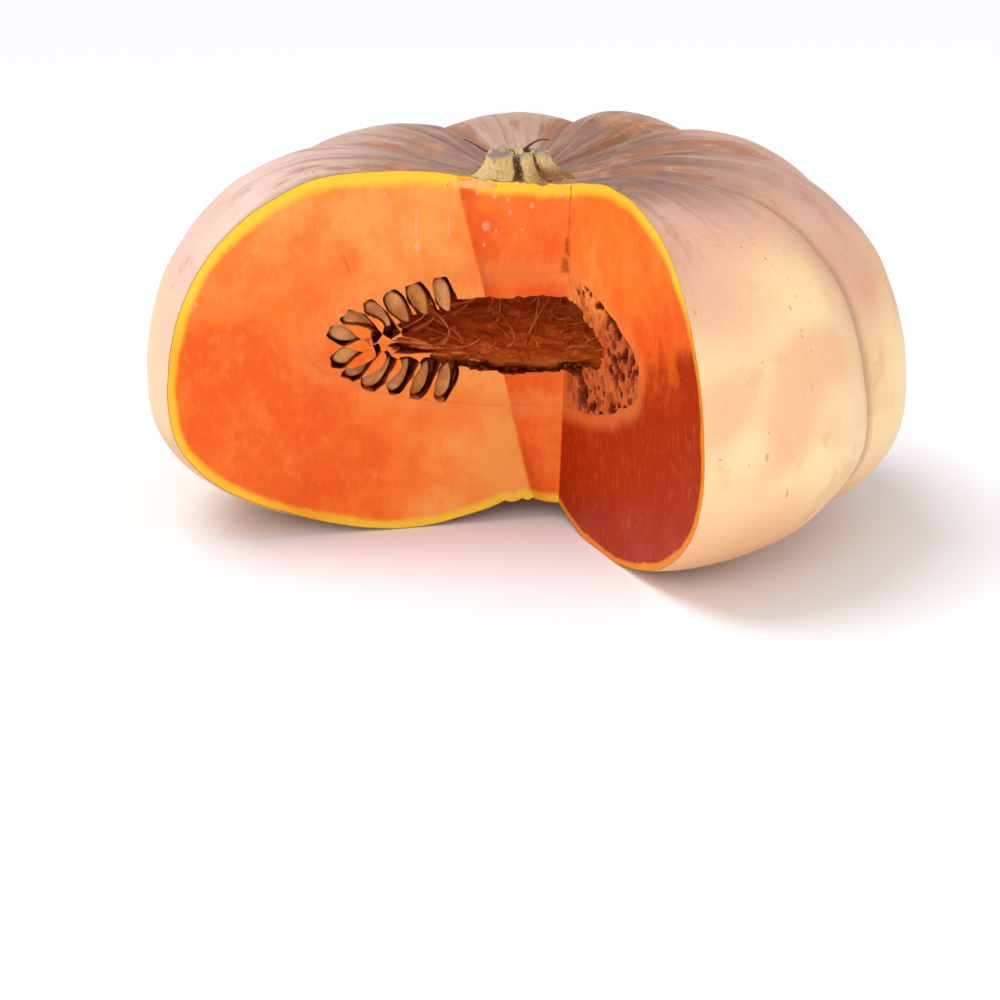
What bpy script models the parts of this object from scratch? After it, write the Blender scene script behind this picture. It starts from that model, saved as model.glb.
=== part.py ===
"""A large flat ribbed winter squash with one wedge cut out of it, resting on its underside.

The fruit (rind and flesh grown as one) is one solid. The dry stump of the stem, the seed-bearing
pulp in the hollow middle, the loose seeds and the dry tendrils beside the stem are pieces of
their own. Metres, +Z up. The stem's axis is vertical; the missing wedge faces -Y.
"""

import bpy
import bmesh
import math
import random
from mathutils import Matrix, Vector

# Driving dimensions, in metres and degrees.
GIRTH_RADIUS = 0.180          # stem axis to the outermost bulge of a lobe
GIRTH_HEIGHT = 0.070          # height of the widest part above the floor
CREST_HEIGHT = 0.180          # height of the shoulders around the stem
CREST_RADIUS = 0.083          # distance of the shoulders' highest ring from the stem axis
DIMPLE_DEPTH = 0.014          # how far the stem sits below the shoulders
SHOULDER_POWER = 2.13         # 2 is an ellipse; more is squarer
BELLY_POWER = 2.10
FOOT_RADIUS = 0.066           # ring of the lobes' lowest points
BLOSSOM_HOLLOW = 0.012        # rise of the underside at the blossom scar
FOOT_SINK = 0.002             # how much of the lobes' feet is pressed flat on the floor
GROOVE_DEPTH = 0.009          # valley between lobes at the girth
GROOVE_DEPTH_TOP = 0.006      # valley between lobes on the shoulders
LOBE_ROUNDNESS = 0.75         # less makes broader lobes with sharper valleys
CREST_FALL = 0.25             # share of the way down the skin at which the shoulders crest

# Each lobe: azimuth of the valley where it starts, girth factor, height factor.
LOBES = (
    (-72, 1.003, 0.967),
    (-28, 1.003, 0.998),
    (7, 1.002, 1.008),
    (43, 1.003, 1.026),
    (75, 1.001, 1.011),
    (114, 1.000, 1.001),
    (156, 1.000, 0.994),
    (200, 1.000, 0.990),
    (236, 0.995, 0.985),
    (264, 1.000, 0.980),
)

LEFT_CUT_AZIMUTH = 194.3
LEFT_CUT_START = (-0.030, -0.020)
RIGHT_CUT_AZIMUTH = -69.2
RIGHT_CUT_START = (0.019, -0.020)
MIDDLE_CUT_Y = -0.0225        # the short cut in front of the stem, at the height of the dimple
MIDDLE_CUT_TURN = -4.5        # degrees; its right end lies further forward
MIDDLE_CUT_LEAN = 4.3         # degrees; its lower edge lies further back

CAVITY_RADIUS = 0.108
CAVITY_HALF_HEIGHT = 0.033
CAVITY_CENTRE_HEIGHT = 0.091
VOID_RADIUS = 0.066
VOID_HALF_HEIGHT = 0.019
VOID_CENTRE_HEIGHT = 0.093

GAP = 0.0003                  # left between touching pieces

STEM_ROOT_RADIUS = 0.0130
STEM_ROOT_DEPTH = 0.0060      # how far the stem's root sits in the fruit
STEM_FLARE_RADIUS = 0.0200    # where the stem spreads over the skin
STEM_TOP_RADIUS = 0.0105
STEM_HEIGHT = 0.0125          # above the skin around it
STEM_RIDGE_SPREAD = 19        # degrees; half width of one ridge
# Each ridge of the stem: azimuth, reach as a share of the stem's radius.
STEM_RIDGES = ((235, 1.42), (290, 1.16), (342, 1.08), (38, 1.12), (100, 1.10), (168, 1.04))
STEM_HOLLOW = 0.82            # reach between two ridges

SEED_LENGTH = 0.0185
SEED_WIDTH = 0.0108
SEED_THICKNESS = 0.0040
SEED_POCKET_ROOM = 1.22       # size of a seed's pocket as a share of the seed
SEED_RING_INSET = 0.022       # seeds' middles to the flesh, outward from the stem axis
SEED_RING_INSET_UP = 0.0125   # the same, above and below
SEED_SETBACK = 0.002          # seeds' middles behind the cut face
SEEDS_IN_LEFT_FACE = 12
SEEDS_IN_RIGHT_FACE = 10
SEEDS_IN_BACK_WALL = 8
SEED_SWEEP_LEFT = 62           # degrees above and below level that each cut face's seeds span
SEED_SWEEP_RIGHT = 58
SEED_SWEEP_POWER = 0.75        # below 1 draws the seeds towards the ends of the sweep
SEED_LEAN_UP = 1.5             # how much more than its place a seed points up or down
SEED_FACE_ROLL = (25, 55)      # degrees a seed is rolled about its length, least and most
SEED_BACK_ROLL = (30, 150)
BACK_ROW_START = 38            # azimuth in degrees of the first seed behind the hollow
BACK_ROW_SWEEP = 104
SEED_SLIMNESS = 0.80           # width at the middle of a seed, as a share of its full width
SEED_ORDER = 11                # start of the seeds' repeatable random rolls
BACK_ROW_OFFSET = 0.005       # the back wall's two rows, above and below the hollow's middle

TENDRIL_RADIUS = 0.0006

# The stem's axis, placed so that the origin is the middle of the object's footprint.
STEM_AXIS = Vector((0.00046, -0.00966, 0.0))

DIMPLE_FLOOR = CREST_HEIGHT - DIMPLE_DEPTH - FOOT_SINK
LOBE_STARTS = [lobe[0] for lobe in LOBES] + [LOBES[0][0] + 360]


def clear_scene():
    for item in list(bpy.data.objects):
        bpy.data.objects.remove(item, do_unlink=True)


def make_material(name, colour, roughness):
    material = bpy.data.materials.new(name)
    material.use_nodes = True
    shader = material.node_tree.nodes["Principled BSDF"]
    shader.inputs["Base Color"].default_value = (*colour, 1.0)
    shader.inputs["Roughness"].default_value = roughness
    shader.inputs["Metallic"].default_value = 0.0
    return material


def make_object(name, bm, material):
    """Turn a bmesh into a smooth-shaded object that stands in the object's own frame."""
    mesh = bpy.data.meshes.new(name)
    bm.to_mesh(mesh)
    bm.free()
    mesh.shade_smooth()
    item = bpy.data.objects.new(name, mesh)
    bpy.context.scene.collection.objects.link(item)
    item.location = STEM_AXIS
    if material:
        mesh.materials.append(material)
    return item


def cut_away(item, cutter, operation="DIFFERENCE"):
    """Cut one object with another, which stays in the scene as a wire guide only."""
    cutter.hide_render = True
    cutter.display_type = "WIRE"
    cut = item.modifiers.new("cut_by_" + cutter.name, "BOOLEAN")
    cut.operation = operation
    cut.solver = "EXACT"
    cut.object = cutter


def outward_profile(fall):
    """Radius and height of the skin between lobe valleys; fall runs from 0, stem, to 1, blossom."""
    if fall < 0.25:
        along = fall / 0.25
        height = CREST_HEIGHT - DIMPLE_DEPTH * (0.5 + 0.5 * math.cos(math.pi * along))
        return CREST_RADIUS * along, height
    if fall < 0.55:
        turn = (fall - 0.25) / 0.30 * math.pi / 2
        power = 2 / SHOULDER_POWER
        radius = CREST_RADIUS + (GIRTH_RADIUS - CREST_RADIUS) * math.sin(turn) ** power
        return radius, GIRTH_HEIGHT + (CREST_HEIGHT - GIRTH_HEIGHT) * max(math.cos(turn), 0) ** power
    if fall < 0.85:
        turn = (fall - 0.55) / 0.30 * math.pi / 2
        power = 2 / BELLY_POWER
        radius = FOOT_RADIUS + (GIRTH_RADIUS - FOOT_RADIUS) * max(math.cos(turn), 0) ** power
        return radius, GIRTH_HEIGHT - GIRTH_HEIGHT * math.sin(turn) ** power
    along = (1 - fall) / 0.15
    return FOOT_RADIUS * along, BLOSSOM_HOLLOW * (0.5 + 0.5 * math.cos(math.pi * along))


def valley_depth(fall):
    """Depth of the valley between two lobes, from nothing at the stem to nothing at the scar."""
    if fall < 0.2:
        return GROOVE_DEPTH_TOP * fall / 0.2
    if fall < 0.5:
        return GROOVE_DEPTH_TOP + (GROOVE_DEPTH - GROOVE_DEPTH_TOP) * (fall - 0.2) / 0.3
    return GROOVE_DEPTH * math.sin(math.pi * fall) ** 0.8


def lobe_at(azimuth):
    """The lobe that an azimuth falls in, and how far across it that is, from 0 to 1."""
    turned = (azimuth - LOBE_STARTS[0]) % 360 + LOBE_STARTS[0]
    for index in range(len(LOBES)):
        if turned < LOBE_STARTS[index + 1]:
            width = LOBE_STARTS[index + 1] - LOBE_STARTS[index]
            return index, (turned - LOBE_STARTS[index]) / width
    return len(LOBES) - 1, 1.0


def lobe_factor(azimuth, column):
    """A lobe's own girth or height factor, blended smoothly into its neighbours'."""
    index, across = lobe_at(azimuth)
    neighbour = (index + 1) % len(LOBES) if across > 0.5 else index - 1
    share = abs(across - 0.5)
    return LOBES[index][column] * (1 - share) + LOBES[neighbour][column] * share


def skin_point(azimuth, fall):
    radius, height = outward_profile(fall)
    before = outward_profile(max(fall - 0.004, 0))
    after = outward_profile(min(fall + 0.004, 1))
    slope = Vector((after[0] - before[0], after[1] - before[1])).normalized()
    across = lobe_at(azimuth)[1]
    sunk = valley_depth(fall) * (1 - math.sin(math.pi * across) ** LOBE_ROUNDNESS)
    radius = max(radius + slope.y * sunk, 0) * lobe_factor(azimuth, 1)
    evened = min(fall / CREST_FALL, 1)
    height = (height - slope.x * sunk) * (1 + (lobe_factor(azimuth, 2) - 1) * evened)
    angle = math.radians(azimuth)
    return Vector((radius * math.cos(angle), radius * math.sin(angle), max(height - FOOT_SINK, 0)))


def whole_fruit(around, down):
    """A ball of rings and meridians, reshaped into the lobed outside of the fruit."""
    bm = bmesh.new()
    bmesh.ops.create_uvsphere(bm, u_segments=around, v_segments=down, radius=1.0)
    for vert in bm.verts:
        azimuth = math.degrees(math.atan2(vert.co.y, vert.co.x))
        fall = math.acos(max(min(vert.co.z, 1), -1)) / math.pi
        vert.co = skin_point(azimuth, fall)
    return bm


def wedge_block(reach=0.5):
    """The space of the missing wedge: a block trimmed by the two long cuts and the short one."""
    bm = bmesh.new()
    bmesh.ops.create_cube(bm, size=2 * reach)
    bmesh.ops.translate(bm, verts=bm.verts, vec=(0, -reach, 0.1))
    left = math.radians(LEFT_CUT_AZIMUTH)
    right = math.radians(RIGHT_CUT_AZIMUTH)
    turn = math.radians(MIDDLE_CUT_TURN)
    lean = math.radians(MIDDLE_CUT_LEAN)
    backward = (-math.sin(turn) * math.cos(lean), math.cos(turn) * math.cos(lean), math.sin(lean))
    cuts = (
        ((*LEFT_CUT_START, 0), (math.sin(left), -math.cos(left), 0)),
        ((*RIGHT_CUT_START, 0), (-math.sin(right), math.cos(right), 0)),
        ((0, MIDDLE_CUT_Y, DIMPLE_FLOOR), backward),
    )
    for place, outward in cuts:
        geometry = bm.verts[:] + bm.edges[:] + bm.faces[:]
        cut = bmesh.ops.bisect_plane(bm, geom=geometry, plane_co=place, plane_no=outward,
                                     clear_outer=True)
        edges = [part for part in cut["geom_cut"] if isinstance(part, bmesh.types.BMEdge)]
        bmesh.ops.contextual_create(bm, geom=edges)
    bmesh.ops.recalc_face_normals(bm, faces=bm.faces)
    return bm


def flattened_ball(radius, half_height, centre_height, around, down):
    bm = bmesh.new()
    bmesh.ops.create_uvsphere(bm, u_segments=around, v_segments=down, radius=1.0)
    bmesh.ops.scale(bm, verts=bm.verts, vec=(radius, radius, half_height))
    bmesh.ops.translate(bm, verts=bm.verts, vec=(0, 0, centre_height))
    return bm


def turned(outline, around):
    """Spin a half outline of (radius, height) points about the vertical axis into a closed body."""
    bm = bmesh.new()
    verts = [bm.verts.new((radius, 0, height)) for radius, height in outline]
    edges = [bm.edges.new(pair) for pair in zip(verts, verts[1:])]
    bmesh.ops.spin(bm, geom=verts + edges, cent=(0, 0, 0), axis=(0, 0, 1),
                   angle=2 * math.pi, steps=around, use_merge=True)
    bmesh.ops.remove_doubles(bm, verts=bm.verts, dist=1e-6)
    bmesh.ops.recalc_face_normals(bm, faces=bm.faces)
    return bm


def ridge_reach(azimuth):
    """How far the stem reaches out at an azimuth, as a share of its plain radius."""
    reach = STEM_HOLLOW
    for ridge, top in STEM_RIDGES:
        away = (azimuth - ridge + 180) % 360 - 180
        reach += (top - STEM_HOLLOW) * math.exp(-(away / STEM_RIDGE_SPREAD) ** 2)
    return reach


def stem_stump(extra=0.0, around=48):
    """The ridged stump of the stem; extra swells it evenly, to cut its seat in the fruit."""
    spread = STEM_FLARE_RADIUS - STEM_TOP_RADIUS
    outline = [(0, -STEM_ROOT_DEPTH - extra), (STEM_ROOT_RADIUS + extra, -STEM_ROOT_DEPTH - extra)]
    outline.append((STEM_ROOT_RADIUS + extra, -0.0015 - extra))
    for rise in (-0.06, 0.03, 0.12, 0.25, 0.45, 0.70, 1.0):
        radius = STEM_TOP_RADIUS + spread * (1 - max(rise, 0)) ** 2.2
        outline.append((radius + extra, rise * STEM_HEIGHT))
    outline.append((0, outline[-1][1]))
    bm = turned(outline, around)
    for vert in bm.verts:
        height = vert.co.z
        if height > -0.001:
            angle = math.atan2(vert.co.y, vert.co.x)
            reach = ridge_reach(math.degrees(angle))
            vert.co.x *= reach
            vert.co.y *= reach
        vert.co.z += DIMPLE_FLOOR
    return bm


def seed_shape(room=1.0):
    """A flat seed, its pointed end at -X; room swells it into the pocket that it sits in."""
    bm = bmesh.new()
    bmesh.ops.create_uvsphere(bm, u_segments=10, v_segments=6, radius=1.0)
    bmesh.ops.rotate(bm, verts=bm.verts, cent=(0, 0, 0), matrix=Matrix.Rotation(math.pi / 2, 3, "Y"))
    for vert in bm.verts:
        taper = SEED_SLIMNESS + (1 - SEED_SLIMNESS) * math.sin(vert.co.x * math.pi / 2)
        vert.co.x *= SEED_LENGTH / 2 * room
        vert.co.y *= SEED_WIDTH / 2 * taper * room
        vert.co.z *= SEED_THICKNESS / 2 * taper * room ** 2
    return bm


def cut_section(azimuth, start):
    """Where a long cut lies: its outward direction, its normal, and its place nearest the axis."""
    along = Vector((math.cos(math.radians(azimuth)), math.sin(math.radians(azimuth)), 0))
    across = Vector((-along.y, along.x, 0))
    if across.y > 0:
        across = -across
    nearest = across * Vector((*start, 0)).dot(across)
    return along, across, nearest


def seed_in_face(outward, facing, nearest, turn, turns):
    """Stand a seed behind a cut face, its pointed end towards the middle of the hollow."""
    place = nearest + outward * (CAVITY_RADIUS - SEED_RING_INSET) * math.cos(turn)
    place -= facing * SEED_SETBACK
    place.z = CAVITY_CENTRE_HEIGHT + (CAVITY_HALF_HEIGHT - SEED_RING_INSET_UP) * math.sin(turn)
    length = outward * math.cos(turn) + Vector((0, 0, SEED_LEAN_UP * math.sin(turn)))
    length.normalize()
    side = length.cross(facing).normalized()
    frame = Matrix((length, side, length.cross(side))).transposed().to_4x4()
    roll = Matrix.Rotation(math.radians(turns.uniform(*SEED_FACE_ROLL)), 4, "X")
    return Matrix.Translation(place) @ frame @ roll


def seed_in_back_wall(number, turns):
    """Lay a seed in the wall behind the hollow, in one of two rows, its pointed end inward."""
    azimuth = math.radians(BACK_ROW_START + BACK_ROW_SWEEP * number / (SEEDS_IN_BACK_WALL - 1))
    outward = Vector((math.cos(azimuth), math.sin(azimuth), 0))
    place = outward * (VOID_RADIUS + SEED_SETBACK)
    place.z = VOID_CENTRE_HEIGHT + (BACK_ROW_OFFSET if number % 2 else -BACK_ROW_OFFSET)
    frame = Matrix((outward, Vector((-outward.y, outward.x, 0)), Vector((0, 0, 1))))
    roll = Matrix.Rotation(math.radians(turns.uniform(*SEED_BACK_ROLL)), 4, "X")
    return Matrix.Translation(place) @ frame.transposed().to_4x4() @ roll


def seed_places():
    """Every seed's place: round the two cut faces, then along the wall at the back."""
    turns = random.Random(SEED_ORDER)
    places = []
    faces = (
        (LEFT_CUT_AZIMUTH, LEFT_CUT_START, SEEDS_IN_LEFT_FACE, SEED_SWEEP_LEFT),
        (RIGHT_CUT_AZIMUTH, RIGHT_CUT_START, SEEDS_IN_RIGHT_FACE, SEED_SWEEP_RIGHT),
    )
    for azimuth, start, count, sweep in faces:
        outward, facing, nearest = cut_section(azimuth, start)
        for number in range(count):
            share = 2 * number / (count - 1) - 1
            turn = math.radians(sweep) * math.copysign(abs(share) ** SEED_SWEEP_POWER, share)
            places.append(seed_in_face(outward, facing, nearest, turn, turns))
    for number in range(SEEDS_IN_BACK_WALL):
        places.append(seed_in_back_wall(number, turns))
    return places


def tendril(name, points, material):
    """A thin dry strand, as a tube along a smooth curve through a few points."""
    curve = bpy.data.curves.new(name, "CURVE")
    curve.dimensions = "3D"
    curve.bevel_depth = TENDRIL_RADIUS
    curve.bevel_resolution = 1
    curve.use_fill_caps = True
    curve.resolution_u = 4
    strand = curve.splines.new("NURBS")
    strand.points.add(len(points) - 1)
    strand.order_u = 3
    strand.use_endpoint_u = True
    for point, (x, y, z) in zip(strand.points, points):
        point.co = (x, y, z + DIMPLE_FLOOR, 1.0)
    item = bpy.data.objects.new(name, curve)
    bpy.context.scene.collection.objects.link(item)
    item.location = STEM_AXIS
    curve.materials.append(material)


def build():
    clear_scene()
    rind_and_flesh = make_material("rind_and_flesh", (0.80, 0.45, 0.20), 0.5)
    dry_wood = make_material("dry_stem", (0.62, 0.50, 0.28), 0.8)
    wet_pulp = make_material("seed_pulp", (0.75, 0.24, 0.06), 0.35)
    seed_coat = make_material("seed_coat", (0.72, 0.52, 0.32), 0.5)
    wedge = make_object("wedge_guide", wedge_block(), None)

    fruit = make_object("fruit", whole_fruit(72, 28), rind_and_flesh)
    cavity = flattened_ball(CAVITY_RADIUS, CAVITY_HALF_HEIGHT, CAVITY_CENTRE_HEIGHT, 36, 14)
    cut_away(fruit, make_object("cavity_guide", cavity, None))
    cut_away(fruit, make_object("stem_seat_guide", stem_stump(GAP), None))
    cut_away(fruit, wedge)

    stem = make_object("stem", stem_stump(), dry_wood)
    cut_away(stem, wedge)

    lining = flattened_ball(CAVITY_RADIUS - GAP, CAVITY_HALF_HEIGHT - GAP, CAVITY_CENTRE_HEIGHT, 36, 14)
    pulp = make_object("seed_pulp", lining, wet_pulp)
    void = flattened_ball(VOID_RADIUS, VOID_HALF_HEIGHT, VOID_CENTRE_HEIGHT, 28, 12)
    cut_away(pulp, make_object("void_guide", void, None))
    cut_away(pulp, wedge)

    for number, place in enumerate(seed_places(), start=1):
        seed = make_object(f"seed_{number:02d}", seed_shape(), seed_coat)
        seed.matrix_world = Matrix.Translation(STEM_AXIS) @ place
        pocket = make_object(f"pocket_guide_{number:02d}", seed_shape(SEED_POCKET_ROOM), None)
        pocket.matrix_world = seed.matrix_world
        cut_away(pulp, pocket)

    tendril("tendril_left", ((-0.0125, 0.004, 0.0105), (-0.018, 0.005, 0.0115),
                             (-0.023, 0.0045, 0.0145), (-0.029, 0.006, 0.0165)), dry_wood)
    tendril("tendril_top", ((0.000, 0.004, 0.0134), (0.003, 0.006, 0.0145),
                            (0.006, 0.007, 0.0165), (0.010, 0.007, 0.0160)), dry_wood)


build()
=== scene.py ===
import bmesh
import bpy
import functools
import math
import numpy as np
import random
from mathutils import Matrix, Vector, noise
from mathutils.bvhtree import BVHTree


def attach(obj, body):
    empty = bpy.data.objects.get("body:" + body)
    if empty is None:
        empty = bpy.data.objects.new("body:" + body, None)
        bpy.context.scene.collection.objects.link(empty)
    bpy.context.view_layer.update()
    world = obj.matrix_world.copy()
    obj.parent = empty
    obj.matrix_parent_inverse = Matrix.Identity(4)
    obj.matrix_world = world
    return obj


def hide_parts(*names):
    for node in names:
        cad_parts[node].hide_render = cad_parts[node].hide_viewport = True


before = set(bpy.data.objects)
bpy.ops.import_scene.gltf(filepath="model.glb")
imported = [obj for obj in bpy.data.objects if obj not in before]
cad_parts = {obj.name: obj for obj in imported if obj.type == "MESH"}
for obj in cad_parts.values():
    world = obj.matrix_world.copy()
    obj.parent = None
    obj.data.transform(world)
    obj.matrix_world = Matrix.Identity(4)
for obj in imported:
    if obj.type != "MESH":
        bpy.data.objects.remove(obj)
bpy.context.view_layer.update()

# ---------------------------------------------------------------------------------------------
# The fruit: rind and flesh, grown as one. The outside is ten lobes round the stem, each pressed
# flat where it stands. Three knife cuts took a wedge out: two long ones and a short one between
# them, just in front of the stem, which leans back as it goes down.

stem_axis = Vector((0.00046, -0.00966, 0.0))
girth_radius = 0.180
girth_height = 0.070
crest_radius = 0.083
crest_height = 0.180
dimple_depth = 0.014
foot_radius = 0.066
blossom_hollow = 0.012
foot_sink = 0.002
shoulder_power = 2.13
belly_power = 2.10
dimple_floor = crest_height - dimple_depth - foot_sink
valley_at_girth = 0.009
valley_on_top = 0.006
lobe_roundness = 0.75
crest_fall = 0.25
meridians = 360
rings = 170

# Each lobe: azimuth of the valley where it starts, girth factor, height factor, and how far its
# skin has ripened to cream (0 stays dusty pink, 1 is the creamiest).
lobes = (
    (-72, 1.003, 0.967, 1.00),
    (-28, 1.003, 0.998, 0.95),
    (7, 1.002, 1.008, 0.90),
    (43, 1.003, 1.026, 0.35),
    (75, 1.001, 1.011, 0.25),
    (114, 1.000, 1.001, 0.45),
    (156, 1.000, 0.994, 0.22),
    (200, 1.000, 0.990, 0.20),
    (236, 0.995, 0.985, 0.35),
    (264, 1.000, 0.980, 0.50),
)
lobe_starts = [lobe[0] for lobe in lobes] + [lobes[0][0] + 360]


def outward_profile(fall):
    """Radius and height of the plain skin; fall runs from 0 at the stem to 1 at the scar below."""
    if fall < 0.25:
        along = fall / 0.25
        dip = dimple_depth * (0.5 + 0.5 * math.cos(math.pi * along))
        return crest_radius * along, crest_height - dip
    if fall < 0.55:
        turn = (fall - 0.25) / 0.30 * math.pi / 2
        power = 2 / shoulder_power
        radius = crest_radius + (girth_radius - crest_radius) * math.sin(turn) ** power
        return radius, girth_height + (crest_height - girth_height) * max(math.cos(turn), 0) ** power
    if fall < 0.85:
        turn = (fall - 0.55) / 0.30 * math.pi / 2
        power = 2 / belly_power
        radius = foot_radius + (girth_radius - foot_radius) * max(math.cos(turn), 0) ** power
        return radius, girth_height - girth_height * math.sin(turn) ** power
    along = (1 - fall) / 0.15
    return foot_radius * along, blossom_hollow * (0.5 + 0.5 * math.cos(math.pi * along))


@functools.lru_cache(maxsize=None)
def skin_slope(fall):
    """Radius and height at a fall, and the direction that the skin runs there."""
    radius, height = outward_profile(fall)
    before = outward_profile(max(fall - 0.004, 0))
    after = outward_profile(min(fall + 0.004, 1))
    return radius, height, Vector((after[0] - before[0], after[1] - before[1])).normalized()


def valley_depth(fall):
    """Depth of the valley between two lobes, from nothing at the stem to nothing at the scar."""
    if fall < 0.2:
        return valley_on_top * eased(fall, 0.04, 0.2)
    if fall < 0.5:
        return valley_on_top + (valley_at_girth - valley_on_top) * (fall - 0.2) / 0.3
    return valley_at_girth * math.sin(math.pi * fall) ** 0.8


@functools.lru_cache(maxsize=None)
def lobe_at(azimuth):
    """The lobe that an azimuth falls in, and how far across it that is, from 0 to 1."""
    turned = (azimuth - lobe_starts[0]) % 360 + lobe_starts[0]
    for index in range(len(lobes)):
        if turned < lobe_starts[index + 1]:
            span = lobe_starts[index + 1] - lobe_starts[index]
            return index, (turned - lobe_starts[index]) / span
    return len(lobes) - 1, 1.0


@functools.lru_cache(maxsize=None)
def lobe_value(azimuth, column):
    """One of a lobe's own values, blended smoothly into its neighbours'."""
    index, across = lobe_at(azimuth)
    neighbour = (index + 1) % len(lobes) if across > 0.5 else index - 1
    share = abs(across - 0.5)
    return lobes[index][column] * (1 - share) + lobes[neighbour][column] * share


def skin_relief(azimuth, fall, place):
    """Growth unevenness of the skin: broad dents, small knobs, and furrows that run to the stem."""
    angle = math.radians(azimuth)
    dents = 0.0011 * noise.noise(place * 24) + 0.0004 * noise.noise(place * 70)
    near_stem = max(0.0, 1 - fall / 0.36)
    furrows = noise.noise(Vector((8 * math.cos(angle), 8 * math.sin(angle), 2 * fall)))
    return dents * min(fall / 0.1, 1) + 0.0016 * furrows * near_stem * min(fall / 0.05, 1)


def skin_point(azimuth, fall):
    radius, height, slope = skin_slope(fall)
    angle = math.radians(azimuth)
    plain = Vector((radius * math.cos(angle), radius * math.sin(angle), height))
    across = lobe_at(azimuth)[1]
    sunk = valley_depth(fall) * (1 - math.sin(math.pi * across) ** lobe_roundness)
    sunk -= skin_relief(azimuth, fall, plain)
    radius = max(radius + slope.y * sunk, 0) * lobe_value(azimuth, 1)
    evened = min(fall / crest_fall, 1)
    height = (height - slope.x * sunk) * (1 + (lobe_value(azimuth, 2) - 1) * evened)
    place = Vector((radius * math.cos(angle), radius * math.sin(angle), max(height - foot_sink, 0)))
    return stem_axis + place


def whole_fruit():
    """A ball of rings and meridians, reshaped into the lobed outside of the fruit."""
    bm = bmesh.new()
    bmesh.ops.create_uvsphere(bm, u_segments=meridians, v_segments=rings, radius=1.0)
    for vert in bm.verts:
        azimuth = math.degrees(math.atan2(vert.co.y, vert.co.x))
        azimuth = round(azimuth * meridians / 360) * 360 / meridians
        fall = round(math.acos(max(min(vert.co.z, 1), -1)) / math.pi * rings) / rings
        vert.co = skin_point(azimuth, fall)
    return bm


# The knife's path, as one folded sheet: columns run along the left cut, across the short middle
# cut and out along the right cut, so both corners lie on grid lines.
left_cut_azimuth = math.radians(194.3)
right_cut_azimuth = math.radians(-69.2)
left_out = Vector((math.cos(left_cut_azimuth), math.sin(left_cut_azimuth), 0))
right_out = Vector((math.cos(right_cut_azimuth), math.sin(right_cut_azimuth), 0))
left_facing = Vector((-left_out.y, left_out.x, 0))
right_facing = Vector((right_out.y, -right_out.x, 0))
left_cut_start = stem_axis + Vector((-0.030, -0.020, 0))
right_cut_start = stem_axis + Vector((0.019, -0.020, 0))
middle_cut_y = -0.0225
middle_cut_turn = math.radians(-4.5)
middle_cut_lean = math.radians(4.3)
cut_reach = 0.195
cut_bottom = -0.012
cut_top = 0.205


def corner_at(height, start, outward):
    """Where one long cut meets the short cut at a height."""
    lean = (dimple_floor - height) * math.tan(middle_cut_lean)
    place = Vector((stem_axis.x, stem_axis.y + middle_cut_y + lean, 0))
    right = Vector((math.cos(middle_cut_turn), math.sin(middle_cut_turn), 0))
    gap = start - place
    along = (gap.y * outward.x - gap.x * outward.y) / (right.y * outward.x - right.x * outward.y)
    return place + right * along + Vector((0, 0, height))


def middle_face_y(x, height):
    """Where the short cut lies in depth, at a place across it and a height."""
    lean = (dimple_floor - height) * math.tan(middle_cut_lean)
    return stem_axis.y + middle_cut_y + lean + (x - stem_axis.x) * math.tan(middle_cut_turn)


def knife_sheet(pitch, relief, reach=cut_reach, bottom=cut_bottom, top=cut_top):
    """The cut surface as a closed block that reaches out of the fruit towards -Y. The relief says
    how far a place on the cut stands out, away from the knife."""
    long_columns = round(reach / pitch)
    middle_columns = round((right_cut_start.x - left_cut_start.x) / pitch)
    columns = 2 * long_columns + middle_columns
    rows = round((top - bottom) / pitch)
    bm = bmesh.new()
    bmesh.ops.create_grid(bm, x_segments=columns, y_segments=rows, size=1.0)
    for vert in bm.verts:
        column = round((vert.co.x + 1) / 2 * columns)
        height = bottom + (vert.co.y + 1) / 2 * (top - bottom)
        left_corner = corner_at(height, left_cut_start, left_out)
        right_corner = corner_at(height, right_cut_start, right_out)
        if column <= long_columns:
            steps = long_columns - column
            place = left_corner + left_out * steps * pitch
            facing = left_facing
        elif column < long_columns + middle_columns:
            share = (column - long_columns) / middle_columns
            steps = min(share, 1 - share) * middle_columns
            place = left_corner.lerp(right_corner, share)
            facing = Vector((0, -1, 0))
        else:
            steps = column - long_columns - middle_columns
            place = right_corner + right_out * steps * pitch
            facing = right_facing
        vert.co = place + facing * relief(place, facing) * min(steps / 4, 1)
    rim = [edge for edge in bm.edges if edge.is_boundary]
    for made in bmesh.ops.extrude_edge_only(bm, edges=rim)["geom"]:
        if isinstance(made, bmesh.types.BMVert):
            made.co.y = -0.5
    bmesh.ops.contextual_create(bm, geom=[edge for edge in bm.edges if edge.is_boundary])
    bmesh.ops.recalc_face_normals(bm, faces=bm.faces)
    return bm


def knife_wobble(place, facing):
    return 0.0006 * noise.noise(place * 26) + 0.00018 * noise.noise(place * 120)


def flattened_ball(radius, half_height, centre_height, around, down, rough, fine=0.0):
    """A low ball on the stem's axis, with an uneven wall."""
    bm = bmesh.new()
    bmesh.ops.create_uvsphere(bm, u_segments=around, v_segments=down, radius=1.0)
    for vert in bm.verts:
        unit = vert.co.copy()
        swell = 1 + rough * (noise.noise(unit * 3.1) + 0.5 * noise.noise(unit * 8.3))
        swell += fine * noise.noise(unit * 21)
        place = Vector((unit.x * radius, unit.y * radius, unit.z * half_height)) * swell
        vert.co = stem_axis + place + Vector((0, 0, centre_height))
    return bm


def as_object(name, bm, materials=()):
    """Turn a bmesh into an object at the origin, with its place in its mesh."""
    mesh = bpy.data.meshes.new(name)
    bm.to_mesh(mesh)
    bm.free()
    for material in materials:
        mesh.materials.append(material)
    item = bpy.data.objects.new(name, mesh)
    bpy.context.scene.collection.objects.link(item)
    return item


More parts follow.
